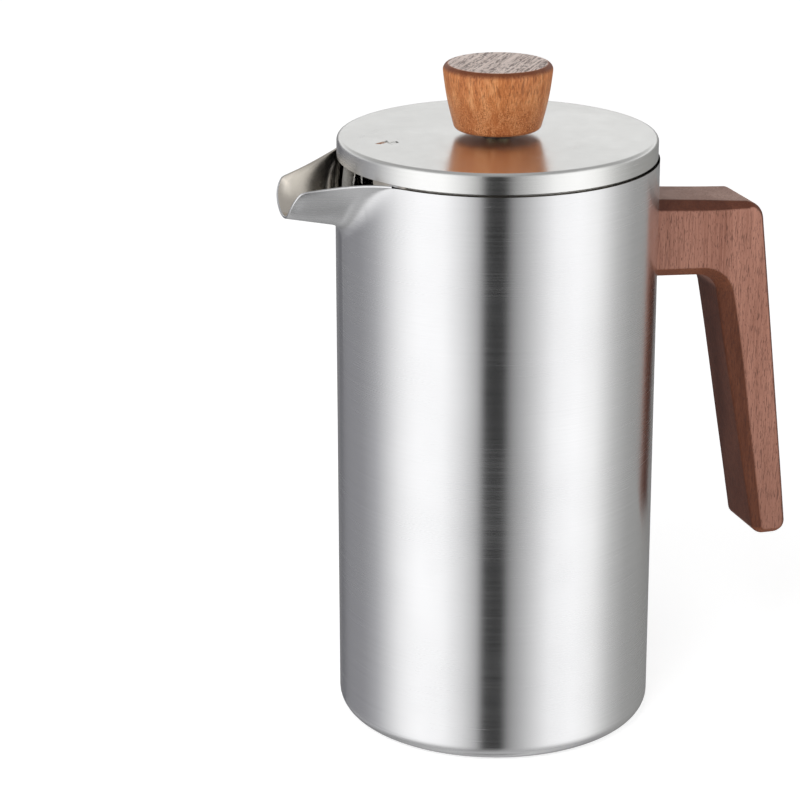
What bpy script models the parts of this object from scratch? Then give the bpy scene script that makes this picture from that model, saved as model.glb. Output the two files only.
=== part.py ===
"""A double-walled steel french press with a wooden handle and knob.

The frame: the origin is the centre of the base on the table, +Z is up, the
handle is on +X and the pouring spout on -X.  The lid is on and the plunger is
pressed down.  Lengths below are in millimetres and MM turns them into metres.
"""
import math

import bmesh
import bpy
import numpy as np
from mathutils import Matrix, Vector

MM = 0.001
GAP = 0.3                       # left between neighbouring pieces
EDGE = 0.6                      # broken edges of small machined pieces

# Vessel
SHELL_R = 54.0                  # outside of the outer wall
WALL_T = 0.9
RIM_Z = 197.2
BASE_CORNER_R = 6.0
BASE_OPENING_R = 40.0           # hole in the shell's floor that the base plate closes
BASE_PLATE_T = 1.5
BASE_PANEL_R = (31.7, 27.7)     # foot and top of the base plate's raised panel
BASE_PANEL_H = 1.2
BORE_R = 48.0                   # inside of the inner liner
LINER_T = 0.8
LINER_FLOOR_Z = 11.0            # top of the liner's floor
LINER_CORNER_R = 5.0
RIM_FLANGE_R = 52.4             # the liner's rim reaches out to the shell

# Spout, pressed out of the shell
SPOUT_HALF_ANGLE = 38.0         # degrees each side of -X where the flare starts
SPOUT_TIP_X = 74.4              # lowest point of the open end
SPOUT_TIP_Z = 182.1
SPOUT_LIP_X = 71.2              # upper corners of the open end
SPOUT_LIP_Y = 12.1
SPOUT_LIP_Z = 192.8
SPOUT_FLANK = 19.0              # length of the lip's bend where it runs into the wall
SPOUT_ROOT_Z = 177.6            # where its underside leaves the wall
SPOUT_BLEND = (4.6, 9.0)        # length of the bend at that line, in the middle and at the sides
SPOUT_POWERS = (1.7, 2.3)       # shape of the channel's section at the wall and at the mouth
LEAST_FLARE = 1.0               # height of the flare where it dies out at the rim
MOST_BEND = 0.6                 # largest share of the flare that the bend at its root takes
RISE_POWER = 0.85               # below 1 the rim rises sooner from the spout to its full height
WEIR_DROP = 2.2                 # the liner's rim stays this far under the bend

# Lid
LID_R = 53.45
LID_TOP_Z = 204.3
LID_T = 1.0
LID_EDGE_R = 1.5
BAND_BOTTOM_Z = RIM_Z + GAP
SKIRT_R = 45.6
SKIRT_T = 1.0
SKIRT_BOTTOM_Z = 176.1
SKIRT_SLOPE = 0.36              # rise of the slanted cut, per mm towards the spout
SKIRT_CUT_START = 9.0
SLOT_HALF_WIDTH = 5.9           # pour slot in the skirt
SLOT_TOP_Z = 200.3
SKIRT_FLANGE_R = 40.0
MARK_TIP_R = 42.7               # point of the stamped pour arrow, from the lid's centre
MARK_LENGTH = 8.0
MARK_HEAD = (5.2, 3.3)          # length and half width of its head
MARK_SHAFT = 1.2                # half width of its shaft
MARK_DEPTH = 0.35

# Rod, bushing and knob
ROD_R = 2.0
THREAD_R = 1.7                  # the rod's threaded foot
ROD_TOP_Z = 219.0
ROD_BOTTOM_Z = 17.4
BUSHING_R = 4.3
BUSHING_FLANGE_R = 5.0
BUSHING_FLANGE_T = 0.6
BUSHING_BOTTOM_Z = 197.0
NUT_FLATS = 13.0
NUT_H = 4.3
KNOB_BOTTOM_Z = 206.4
KNOB_TOP_Z = 228.4
KNOB_TOP_R = 18.2               # at the shoulder under the rounded top edge
KNOB_BASE_R = 14.7
KNOB_EDGE_R = 2.4
KNOB_FOOT_R = 1.6
KNOB_INSERT_R = 3.6

# Filter stack, bottom to top
PLATE_Z = 16.0                  # underside of the cross plate
PLATE_T = 1.0
CONE_FOOT_R = 42.9
CONE_T = 0.9
CROSS_R = 47.1
HUB_R = 14.5
SPOKE_HALF = (6.9, 10.0)        # half width at the hub and at the ring
RING_INNER_R = 38.5
SPOKE_CORNERS = (3.5, 1.5)      # corner radii of the openings at the ring and at the hub
SPOKE_ANGLES = (-90.0, 30.0, 150.0)
MESH_T = 0.5
MESH_R = 47.2
BINDING_R = 47.6
BINDING_T = 1.1
SPRING_PLATE_R = 41.5
COIL_RING_R = 43.4              # radius of the coil spring's centre line
COIL_R = 1.6
BOSS_R = (10.4, 7.4)            # foot and flat top of the spring plate's boss
BOSS_H = 3.5
SPRING_LIP_H = 4.9
HOLE_RINGS = ((30.5, 6.4, 12, 0.0), (17.8, 2.9, 8, 0.5))    # ring, hole, sides, shift in pitches
HOLES_IN_RING = 10
SLEEVE_FLANGE_R = 7.0
SLEEVE_FLANGE_T = 1.2
SLEEVE_R = 4.7
SLEEVE_NECK_R = 3.3
SLEEVE_TOP_Z = 28.0

# Handle, in the X-Z plane: corner points and their radii
HANDLE_WIDTH = 26.0
HANDLE_CHAMFER = 2.8
HANDLE_OUTLINE = (
    (50.0, 180.1, 0.0),         # top, inside the wall's line
    (91.9, 176.2, 6.6),         # outer elbow
    (105.8, 54.0, 4.2),         # outer foot
    (94.0, 54.0, 4.0),          # inner foot
    (76.4, 151.3, 8.7),         # inner elbow
    (50.0, 153.0, 0.0),         # underside, inside the wall's line
)
SCREW_HEIGHTS = {"upper": 172.6, "lower": 160.2}
SCREW_R = 2.0
SCREW_HEAD_R = 3.8
SCREW_HEAD_T = 1.5
SCREW_SPAN = (50.7, 64.0)       # from the head's inside to the tip, along X
SCREW_HOLE_SPAN = (50.0, 58.0)
INSERT_R = 3.1
INSERT_SPAN = (54.8, 67.2)
SOCKET_SPAN = (50.0, 68.0)

MATERIALS = {
    "shell_steel": ((0.62, 0.62, 0.63), 0.30, 1.0),
    "liner_steel": ((0.58, 0.57, 0.55), 0.28, 1.0),
    "lid_steel": ((0.66, 0.65, 0.63), 0.33, 1.0),
    "polished_steel": ((0.72, 0.72, 0.72), 0.14, 1.0),
    "handle_wood": ((0.36, 0.17, 0.11), 0.52, 0.0),
    "knob_wood": ((0.47, 0.21, 0.09), 0.45, 0.0),
    "brass": ((0.72, 0.52, 0.24), 0.30, 1.0),
    "mesh_steel": ((0.45, 0.45, 0.45), 0.40, 1.0),
}


# ---------------------------------------------------------------- helpers

def clear_scene():
    for obj in list(bpy.data.objects):
        bpy.data.objects.remove(obj, do_unlink=True)


def make_material(name):
    colour, roughness, metallic = MATERIALS[name]
    material = bpy.data.materials.new(name)
    material.use_nodes = True
    shader = material.node_tree.nodes["Principled BSDF"]
    shader.inputs["Base Color"].default_value = (*colour, 1.0)
    shader.inputs["Roughness"].default_value = roughness
    shader.inputs["Metallic"].default_value = metallic
    material.diffuse_color = (*colour, 1.0)
    return material


def finish_mesh(bm, name, material, matrix=None):
    """Turn a bmesh in millimetres into a smooth-shaded object in metres."""
    bmesh.ops.recalc_face_normals(bm, faces=bm.faces)
    if bm.calc_volume(signed=True) < 0:
        bmesh.ops.reverse_faces(bm, faces=bm.faces)
    if matrix is not None:
        bm.transform(matrix)
    bm.transform(Matrix.Scale(MM, 4))
    mesh = bpy.data.meshes.new(name)
    bm.to_mesh(mesh)
    bm.free()
    mesh.shade_smooth()
    mesh.set_sharp_from_angle(angle=math.radians(35))
    obj = bpy.data.objects.new(name, mesh)
    bpy.context.scene.collection.objects.link(obj)
    if material:
        mesh.materials.append(material)
    return obj


def arc(centre_r, centre_z, radius, start, end, steps):
    """Points on an arc in the (r, z) plane, angles in degrees, both ends included."""
    angles = np.radians(np.linspace(start, end, steps + 1))
    return [(centre_r + radius * math.cos(a), centre_z + radius * math.sin(a)) for a in angles]


def even_angles(count, first=0.0):
    return [first + 2 * math.pi * i / count for i in range(count)]


def turned(name, profile, material, count=48, matrix=None, angles=None):
    """Solid of revolution about Z.

    profile is a list of (r, z) points, or a function of the angle that gives
    one.  A profile whose ends both lie on the axis is closed there; any other
    profile is a loop.
    """
    angles = angles or even_angles(count)
    rows = [profile(a) if callable(profile) else profile for a in angles]
    on_axis = rows[0][0][0] == 0 and rows[0][-1][0] == 0
    bm = bmesh.new()
    poles = {}
    columns = []
    for angle, points in zip(angles, rows):
        column = []
        for index, (r, z) in enumerate(points):
            if r == 0:
                if index not in poles:
                    poles[index] = bm.verts.new((0, 0, z))
                column.append(poles[index])
            else:
                column.append(bm.verts.new((r * math.cos(angle), r * math.sin(angle), z)))
        columns.append(column)
    steps = len(columns[0]) - (1 if on_axis else 0)
    for i, column in enumerate(columns):
        other = columns[(i + 1) % len(columns)]
        for j in range(steps):
            k = (j + 1) % len(column)
            corners = [column[j], other[j], other[k], column[k]]
            unique = list(dict.fromkeys(corners))
            if len(unique) > 2:
                bm.faces.new(unique)
    return finish_mesh(bm, name, material, matrix)


def sheet(name, grid, thickness, material):
    """Closed solid from a ring of columns of outer points, thickened inwards."""
    outer = np.array(grid)
    around = np.roll(outer, -1, axis=0) - np.roll(outer, 1, axis=0)
    up = np.gradient(outer, axis=1)
    normals = np.cross(around, up)
    normals /= np.linalg.norm(normals, axis=2, keepdims=True)
    inner = outer - thickness * normals
    inner[:, -1, 2] = np.minimum(inner[:, -1, 2], outer[:, -1, 2])
    bm = bmesh.new()
    columns, rows = outer.shape[:2]
    skins = [[[bm.verts.new(p) for p in column] for column in skin] for skin in (outer, inner)]
    for i in range(columns):
        k = (i + 1) % columns
        for skin in skins:
            for j in range(rows - 1):
                bm.faces.new((skin[i][j], skin[k][j], skin[k][j + 1], skin[i][j + 1]))
        for j in (0, rows - 1):
            bm.faces.new((skins[0][i][j], skins[0][k][j], skins[1][k][j], skins[1][i][j]))
    return finish_mesh(bm, name, material)


def prism(name, outline, low, high, material=None, matrix=None):
    """Extrude a closed outline of (x, y) points from low to high along Z."""
    bm = bmesh.new()
    bottom = [bm.verts.new((x, y, low)) for x, y in outline]
    top = [bm.verts.new((x, y, high)) for x, y in outline]
    bm.faces.new(bottom)
    bm.faces.new(top)
    for i in range(len(outline)):
        k = (i + 1) % len(outline)
        bm.faces.new((bottom[i], bottom[k], top[k], top[i]))
    return finish_mesh(bm, name, material, matrix)


def rounded_outline(corners, steps):
    """Replace each corner (x, y, radius) of a polygon by an arc."""
    result = []
    count = len(corners)
    for i, (x, y, radius) in enumerate(corners):
        here = Vector((x, y))
        if radius == 0:
            result.append((x, y))
            continue
        before = (Vector(corners[i - 1][:2]) - here).normalized()
        after = (Vector(corners[(i + 1) % count][:2]) - here).normalized()
        half = before.angle(after) / 2
        centre = here + (before + after).normalized() * (radius / math.sin(half))
        start = here + before * (radius / math.tan(half)) - centre
        end = here + after * (radius / math.tan(half)) - centre
        sweep = math.atan2(start.x * end.y - start.y * end.x, start.dot(end))
        for step in range(steps + 1):
            turn = sweep * step / steps
            point = Matrix.Rotation(turn, 2) @ start
            result.append((centre.x + point.x, centre.y + point.y))
    return result


def circle(x, y, radius, count):
    return [(x + radius * math.cos(a), y + radius * math.sin(a)) for a in even_angles(count)]


def join_cutters(name, cutters):
    """Join separate cutters into one mesh of separate bodies."""
    bm = bmesh.new()
    for cutter in cutters:
        bm.from_mesh(cutter.data)
        bpy.data.objects.remove(cutter, do_unlink=True)
    mesh = bpy.data.meshes.new(name)
    bm.to_mesh(mesh)
    bm.free()
    joined = bpy.data.objects.new(name, mesh)
    bpy.context.scene.collection.objects.link(joined)
    return joined


def cut(obj, cutter):
    """Subtract cutter from obj with a Boolean that stays on the object."""
    cutter.hide_render = True
    cutter.display_type = 'WIRE'
    modifier = obj.modifiers.new("Cut " + cutter.name, 'BOOLEAN')
    modifier.operation = 'DIFFERENCE'
    modifier.solver = 'EXACT'
    modifier.object = cutter


# ---------------------------------------------------------------- the vessel

def spout_turn(angle):
    """Angle from the spout's middle, 0 at -X, in radians and always positive."""
    return abs(math.remainder(angle - math.pi, 2 * math.pi))


def spout_rise(turn):
    """0 at the spout's middle, rising softly to 1 where the flare ends."""
    share = min(1.0, turn / math.radians(SPOUT_HALF_ANGLE))
    return math.sin(math.pi / 2 * share ** RISE_POWER) ** 2


def lip_curve(steps=60):
    """Plan and height of the spout's upper edge, from its corner to where it joins the rim."""
    limit = math.radians(SPOUT_HALF_ANGLE)
    start = np.array((SPOUT_LIP_X, SPOUT_LIP_Y))
    end = np.array((math.cos(limit), math.sin(limit))) * SHELL_R
    bend = end + np.array((math.sin(limit), -math.cos(limit))) * SPOUT_FLANK
    s = np.linspace(0, 1, steps)[:, None]
    x, y = (start * (1 - s) ** 2 + bend * 2 * s * (1 - s) + end * s ** 2).T
    return x, y, SPOUT_LIP_Z + (RIM_Z - SPOUT_LIP_Z) * np.sin(math.pi / 2 * s[:, 0])


def spout_height(x, y):
    """Height of the spout's channel, U-shaped at its mouth and V-shaped at the wall."""
    curve_x, half_widths, tops = (values[::-1] for values in lip_curve())
    half_width = np.interp(x, curve_x, half_widths)
    top = np.interp(x, curve_x, tops)
    slope = (SPOUT_TIP_Z - SPOUT_ROOT_Z) / (SPOUT_TIP_X - SHELL_R)
    floor = SPOUT_ROOT_Z + slope * (x - SHELL_R)
    power = np.interp(x, (SHELL_R, SPOUT_LIP_X), SPOUT_POWERS)
    return floor + (top - floor) * min(1.0, y / half_width) ** power


def spout_reach(turn):
    """Radius of the shell's top edge at an angle from the spout's middle."""
    corner_turn = math.atan2(SPOUT_LIP_Y, SPOUT_LIP_X)
    if turn >= math.radians(SPOUT_HALF_ANGLE):
        return SHELL_R
    if turn <= corner_turn:
        share = math.tan(turn) / math.tan(corner_turn)
        return (SPOUT_TIP_X + (SPOUT_LIP_X - SPOUT_TIP_X) * share ** 6) / math.cos(turn)
    x, y, _ = lip_curve()
    return np.interp(turn, np.arctan2(y, x), np.hypot(x, y))


def flare_point(turn, share):
    """Radius and height on the flare, from the wall at share 0 to the top edge at share 1."""
    reach = spout_reach(turn)
    r = SHELL_R + (reach - SHELL_R) * share
    if turn >= math.radians(SPOUT_HALF_ANGLE):
        return Vector((r, RIM_Z - LEAST_FLARE * (1 - share)))
    edge = spout_height(reach * math.cos(turn), reach * math.sin(turn))
    height = spout_height(r * math.cos(turn), r * math.sin(turn))
    return Vector((r, min(height, edge - LEAST_FLARE * (1 - share))))


def shell_column(angle):
    """Outer points of the shell's wall at one angle, from the floor's edge to the top edge."""
    turn = spout_turn(angle)
    points = [(BASE_OPENING_R, 0.0)]
    points += arc(SHELL_R - BASE_CORNER_R, BASE_CORNER_R, BASE_CORNER_R, -90, 0, 3)
    middle, side = SPOUT_BLEND
    blend = middle + (side - middle) * spout_rise(turn)
    run = flare_point(turn, 1.0) - flare_point(turn, 0.0)
    ratio = blend / run.length
    share = ratio / (1 + (ratio / MOST_BEND) ** 4) ** 0.25
    after = flare_point(turn, share)
    direction = flare_point(turn, share + 0.05) - after
    bend_z = after.y
    if after.x > SHELL_R:
        bend_z -= direction.y / direction.x * (after.x - SHELL_R)
    bend = Vector((SHELL_R, bend_z))
    before = bend - Vector((0.0, blend))
    for s in (0.0, 0.3, 0.6, 1.0):
        point = before * (1 - s) ** 2 + bend * 2 * s * (1 - s) + after * s ** 2
        points.append((point.x, point.y))
    points += [tuple(flare_point(turn, share + (1 - share) * s)) for s in (0.5, 1.0)]
    return [(r * math.cos(angle), r * math.sin(angle), z) for r, z in points]


def vessel_angles():
    """Column angles, closer together in the spout."""
    corner = math.degrees(math.atan2(SPOUT_LIP_Y, SPOUT_LIP_X))
    half = [corner * share for share in (0.0, 0.35, 0.6, 0.78, 0.9)]
    half += list(np.linspace(corner, SPOUT_HALF_ANGLE, 9))
    half += list(np.linspace(SPOUT_HALF_ANGLE, 180.0, 20)[1:])
    degrees = [180.0 + t for t in half] + [180.0 - t for t in half[-2:0:-1]]
    return [math.radians(d) for d in degrees]


def liner_profile(angle):
    """Loop of the liner's wall, floor and rim flange at one angle."""
    turn = spout_turn(angle)
    low = SPOUT_ROOT_Z - WEIR_DROP
    top = low + (RIM_Z - low) * spout_rise(turn) ** 4
    inner_r = LINER_CORNER_R
    outer_r = LINER_CORNER_R + LINER_T
    centre_r = BORE_R - LINER_CORNER_R
    centre_z = LINER_FLOOR_Z + LINER_CORNER_R
    inside = arc(centre_r, centre_z, inner_r, -90, 0, 3)
    outside = arc(centre_r, centre_z, outer_r, 0, -90, 3)
    flange = [(BORE_R, top), (RIM_FLANGE_R, top), (RIM_FLANGE_R, top - LINER_T),
              (BORE_R + LINER_T, top - LINER_T)]
    floor = [(0, LINER_FLOOR_Z)]
    under = [(0, LINER_FLOOR_Z - LINER_T)]
    return floor + inside + flange + outside + under


def build_vessel(steel, liner_steel):
    angles = vessel_angles()
    shell = sheet("outer_shell", [shell_column(a) for a in angles], WALL_T, steel)
    holes = [prism("hole", circle(0, 0, SCREW_R + GAP, 16), *SCREW_HOLE_SPAN,
                   matrix=along_x(z)) for z in SCREW_HEIGHTS.values()]
    cut(shell, join_cutters("shell_screw_holes", holes))
    turned("inner_liner", liner_profile, liner_steel, angles=angles)
    plate_r = BASE_OPENING_R - GAP
    foot_r, top_r = BASE_PANEL_R
    panel_z = BASE_PLATE_T + BASE_PANEL_H
    plate = [(0, 0), (plate_r - EDGE, 0), (plate_r, EDGE), (plate_r, BASE_PLATE_T),
             (foot_r, BASE_PLATE_T), (top_r, panel_z), (0, panel_z)]
    turned("base_plate", plate, steel, 36)


def along_x(height):
    """Lay something built along Z along X, at a height."""
    return Matrix.Translation((0, 0, height)) @ Matrix.Rotation(math.pi / 2, 4, 'Y')


def build_handle(wood, steel, brass):
    outline = rounded_outline(HANDLE_OUTLINE, 5)
    stand = Matrix.Rotation(math.pi / 2, 4, 'X')
    half = HANDLE_WIDTH / 2
    handle = prism("handle", outline, -half, half, wood, stand)
    bevel = handle.modifiers.new("Chamfer", 'BEVEL')
    bevel.width = HANDLE_CHAMFER * MM
    bevel.segments = 2
    bevel.limit_method = 'ANGLE'
    bevel.angle_limit = math.radians(60)
    wall = prism("handle_wall_cut", circle(0, 0, SHELL_R + GAP, 96), 0, RIM_Z)
    cut(handle, wall)
    sockets = [prism("socket", circle(0, 0, INSERT_R + GAP, 16), *SOCKET_SPAN,
                     matrix=along_x(z)) for z in SCREW_HEIGHTS.values()]
    cut(handle, join_cutters("handle_sockets", sockets))
    start, end = INSERT_SPAN
    insert = [(SCREW_R + GAP, start), (INSERT_R - EDGE, start), (INSERT_R, start + EDGE),
              (INSERT_R, end - EDGE), (INSERT_R - EDGE, end), (SCREW_R + GAP, end)]
    head, tip = SCREW_SPAN
    neck = head + SCREW_HEAD_T
    screw = [(0, head), (SCREW_HEAD_R - EDGE, head), (SCREW_HEAD_R, head + EDGE),
             (SCREW_HEAD_R, neck), (SCREW_R, neck), (SCREW_R, tip - EDGE),
             (SCREW_R - EDGE, tip), (0, tip)]
    for place, height in SCREW_HEIGHTS.items():
        turned("handle_insert_" + place, insert, brass, 16, along_x(height))
        turned("handle_screw_" + place, screw, steel, 16, along_x(height))


# ---------------------------------------------------------------- the lid

def build_lid(steel, polished):
    hole_r = BUSHING_R + GAP
    under_z = LID_TOP_Z - LID_T
    inner_r = LID_R - LID_T
    cover = [(hole_r, LID_TOP_Z)]
    cover += arc(LID_R - LID_EDGE_R, LID_TOP_Z - LID_EDGE_R, LID_EDGE_R, 90, 0, 3)
    cover += [(LID_R, BAND_BOTTOM_Z), (inner_r, BAND_BOTTOM_Z), (inner_r, under_z - EDGE),
              (inner_r - EDGE, under_z), (hole_r, under_z)]
    lid = turned("lid_cover", cover, steel, 60)
    head_length, head_half = MARK_HEAD
    neck_x = head_length - MARK_TIP_R
    end_x = MARK_LENGTH - MARK_TIP_R
    half = [(neck_x, head_half), (neck_x, MARK_SHAFT), (end_x, MARK_SHAFT)]
    mark = [(-MARK_TIP_R, 0.0)] + half + [(x, -y) for x, y in reversed(half)]
    cut(lid, prism("pour_mark", mark, LID_TOP_Z - MARK_DEPTH, LID_TOP_Z + 2))

    skirt = turned("lid_skirt", skirt_profile, polished, 56)
    far, near = -SHELL_R, -SKIRT_FLANGE_R
    slot = [(far, -SLOT_HALF_WIDTH), (near, -SLOT_HALF_WIDTH),
            (near, SLOT_HALF_WIDTH), (far, SLOT_HALF_WIDTH)]
    cut(skirt, prism("pour_slot", slot, 0, SLOT_TOP_Z))


def skirt_profile(angle):
    """Loop of the skirt at one angle, with its slanted lower edge and top flange."""
    reach = -SKIRT_R * math.cos(angle)
    bottom = SKIRT_BOTTOM_Z + SKIRT_SLOPE * max(0.0, reach - SKIRT_CUT_START)
    top = LID_TOP_Z - LID_T - GAP
    inner = SKIRT_R - SKIRT_T
    return [(SKIRT_R, top), (SKIRT_R, bottom), (inner, bottom), (inner, top - SKIRT_T),
            (SKIRT_FLANGE_R, top - SKIRT_T), (SKIRT_FLANGE_R, top)]


def build_bushing(polished):
    bore = ROD_R + GAP
    flange_z = LID_TOP_Z + GAP
    top_z = flange_z + BUSHING_FLANGE_T
    bevel = BUSHING_FLANGE_T / 2.0
    bushing = [(bore, BUSHING_BOTTOM_Z), (BUSHING_R, BUSHING_BOTTOM_Z), (BUSHING_R, flange_z),
               (BUSHING_FLANGE_R, flange_z), (BUSHING_FLANGE_R, top_z - bevel),
               (BUSHING_FLANGE_R - bevel, top_z), (bore, top_z)]
    turned("rod_bushing", bushing, polished, 24)

    def nut(angle):
        side = math.remainder(angle, math.pi / 3)
        radius = NUT_FLATS / 2 / math.cos(side)
        top = LID_TOP_Z - LID_T - GAP
        inner = BUSHING_R + GAP
        return [(inner, top - NUT_H), (radius, top - NUT_H), (radius, top), (inner, top)]

    turned("bushing_nut", nut, polished, 24, angles=even_angles(24, math.pi / 6))


# ---------------------------------------------------------------- the plunger

def knob_profile():
    """Profile of the knob: an upside-down cone with soft edges and a bore for its insert."""
    bore_r = KNOB_INSERT_R + GAP
    bore_z = ROD_TOP_Z + GAP + EDGE + GAP
    lean = math.degrees(math.atan2(KNOB_TOP_R - KNOB_BASE_R, KNOB_TOP_Z - KNOB_BOTTOM_Z))
    foot = arc(KNOB_BASE_R - KNOB_FOOT_R, KNOB_BOTTOM_Z + KNOB_FOOT_R, KNOB_FOOT_R, -90, -lean, 4)
    shoulder = arc(KNOB_TOP_R - KNOB_EDGE_R, KNOB_TOP_Z - KNOB_EDGE_R, KNOB_EDGE_R, -lean, 90, 5)
    inside = [(0, bore_z), (bore_r, bore_z), (bore_r, KNOB_BOTTOM_Z)]
    return inside + foot + shoulder + [(0, KNOB_TOP_Z)]


def build_knob_and_rod(wood, brass, polished):
    turned("knob", knob_profile(), wood, 40)
    low, high = KNOB_BOTTOM_Z + GAP, ROD_TOP_Z + GAP + EDGE
    insert = [(ROD_R + GAP, low), (KNOB_INSERT_R, low), (KNOB_INSERT_R, high), (ROD_R + GAP, high)]
    turned("knob_insert", insert, brass, 16)
    rod = [(0, ROD_BOTTOM_Z), (THREAD_R - EDGE, ROD_BOTTOM_Z), (THREAD_R, ROD_BOTTOM_Z + EDGE),
           (THREAD_R, SLEEVE_TOP_Z - EDGE), (ROD_R, SLEEVE_TOP_Z), (ROD_R, ROD_TOP_Z - EDGE),
           (ROD_R - EDGE, ROD_TOP_Z), (0, ROD_TOP_Z)]
    turned("plunger_rod", rod, polished, 20)


def cone_rise(radius, foot_r, foot_z):
    """Height on the 45-degree rim of a filter plate."""
    return foot_z + radius - foot_r


def spoke_opening(middle):
    """Outline of one opening between two spokes, middle in degrees."""
    hub_half, ring_half = SPOKE_HALF
    hub_turn = math.radians(60) - math.asin(hub_half / HUB_R)
    ring_turn = math.radians(60) - math.asin(ring_half / RING_INNER_R)
    ring_corner_r, hub_corner_r = SPOKE_CORNERS
    corners = [(RING_INNER_R, -ring_turn, ring_corner_r)]
    corners += [(RING_INNER_R, t, 0) for t in np.linspace(-ring_turn, ring_turn, 13)[2:-2]]
    corners += [(RING_INNER_R, ring_turn, ring_corner_r), (HUB_R, hub_turn, hub_corner_r)]
    corners += [(HUB_R, t, 0) for t in np.linspace(hub_turn, -hub_turn, 4)[1:-1]]
    corners += [(HUB_R, -hub_turn, hub_corner_r)]
    turn = math.radians(middle)
    flat = [(r * math.cos(turn + t), r * math.sin(turn + t), e) for r, t, e in corners]
    return rounded_outline(flat, 3)


def build_filter(steel, mesh_steel, polished):
    hub_hole = SLEEVE_R + GAP
    plate_top = PLATE_Z + PLATE_T
    slant = CONE_T / math.sqrt(2)
    cone_top = cone_rise(CROSS_R, CONE_FOOT_R, PLATE_Z)
    inner_foot = CONE_FOOT_R + PLATE_T - CONE_T * math.sqrt(2)
    cross = [(hub_hole, PLATE_Z), (CONE_FOOT_R, PLATE_Z), (CROSS_R, cone_top),
             (CROSS_R - slant, cone_top + slant), (inner_foot, plate_top), (hub_hole, plate_top)]
    plate = turned("cross_plate", cross, steel, 48)
    openings = [prism("opening", spoke_opening(a + 60), 0, 40) for a in SPOKE_ANGLES]
    cut(plate, join_cutters("cross_plate_openings", openings))

    mesh_z = plate_top + GAP
    mesh_foot = inner_foot - (GAP * math.sqrt(2) - GAP)
    mesh_slant = MESH_T / math.sqrt(2)
    mesh_top = cone_rise(MESH_R, mesh_foot, mesh_z)
    mesh_inner = mesh_foot + MESH_T - MESH_T * math.sqrt(2)
    screen = [(hub_hole, mesh_z), (mesh_foot, mesh_z), (MESH_R, mesh_top),
              (MESH_R - mesh_slant, mesh_top + mesh_slant), (mesh_inner, mesh_z + MESH_T),
              (hub_hole, mesh_z + MESH_T)]
    turned("mesh_screen", screen, mesh_steel, 48)
    hem_z = mesh_top + mesh_slant + GAP
    hem = [(BINDING_R - BINDING_T, hem_z), (BINDING_R, hem_z), (BINDING_R, hem_z + BINDING_T),
           (BINDING_R - BINDING_T, hem_z + BINDING_T)]
    turned("mesh_binding", hem, steel, 48)
    build_spring_plate(mesh_z + MESH_T + GAP, steel)
    coil_z = cone_rise(COIL_RING_R, mesh_foot, mesh_z) + (COIL_R + MESH_T + GAP) * math.sqrt(2)
    coil = arc(COIL_RING_R, coil_z, COIL_R, 0, 360, 6)[:-1]
    turned("coil_spring", coil, polished, 48)
    build_sleeve(mesh_z + MESH_T + GAP, polished)


def build_spring_plate(low, steel):
    """Pressed disc with a raised boss, a lip for the coil spring and two rings of holes."""
    high = low + PLATE_T
    lip_top = low + SPRING_LIP_H
    lip_r = SPRING_PLATE_R - PLATE_T
    foot_r, top_r = BOSS_R
    hole_r = SLEEVE_NECK_R + GAP
    boss_z = high + BOSS_H
    profile = [(hole_r, boss_z), (top_r, boss_z), (foot_r, high), (lip_r - EDGE, high),
               (lip_r, high + EDGE), (lip_r, lip_top), (SPRING_PLATE_R, lip_top),
               (SPRING_PLATE_R, low), (foot_r - EDGE, low), (top_r - EDGE, boss_z - PLATE_T),
               (hole_r, boss_z - PLATE_T)]
    plate = turned("spring_plate", profile, steel, 40)
    holes = []
    for ring_r, radius, sides, shift in HOLE_RINGS:
        for i in range(HOLES_IN_RING):
            turn = 2 * math.pi * (i + shift) / HOLES_IN_RING
            x, y = ring_r * math.cos(turn), ring_r * math.sin(turn)
            holes.append(prism("hole", circle(x, y, radius, sides), low - 2, high + 2))
    cut(plate, join_cutters("spring_plate_holes", holes))


def build_sleeve(spring_plate_z, polished):
    """Threaded sleeve that clamps the stack to the rod from below."""
    bore = ROD_R + GAP
    flange_top = PLATE_Z - GAP
    flange_low = flange_top - SLEEVE_FLANGE_T
    shoulder = spring_plate_z + BOSS_H - GAP
    floor = ROD_BOTTOM_Z - GAP
    profile = [(0, flange_low), (SLEEVE_FLANGE_R - EDGE, flange_low),
               (SLEEVE_FLANGE_R, flange_low + EDGE), (SLEEVE_FLANGE_R, flange_top),
               (SLEEVE_R, flange_top), (SLEEVE_R, shoulder), (SLEEVE_NECK_R, shoulder),
               (SLEEVE_NECK_R, SLEEVE_TOP_Z), (bore, SLEEVE_TOP_Z), (bore, floor), (0, floor)]
    turned("clamp_sleeve", profile, polished, 20)


# ---------------------------------------------------------------- the whole press

def main():
    clear_scene()
    made = {name: make_material(name) for name in MATERIALS}
    build_vessel(made["shell_steel"], made["liner_steel"])
    build_handle(made["handle_wood"], made["polished_steel"], made["brass"])
    build_lid(made["lid_steel"], made["polished_steel"])
    build_bushing(made["polished_steel"])
    build_knob_and_rod(made["knob_wood"], made["brass"], made["polished_steel"])
    build_filter(made["shell_steel"], made["mesh_steel"], made["polished_steel"])


main()
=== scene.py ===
"""Looks of a double-walled steel french press with a wooden handle and knob.

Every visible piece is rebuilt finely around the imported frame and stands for
its plain CAD node.  The handle is on +X, the pouring spout on -X, and the
press stands on the floor at the origin.  Lengths are in millimetres and MM
turns them into metres.
"""
import math

import bmesh
import bpy
import numpy as np
from mathutils import Matrix, Vector


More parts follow.
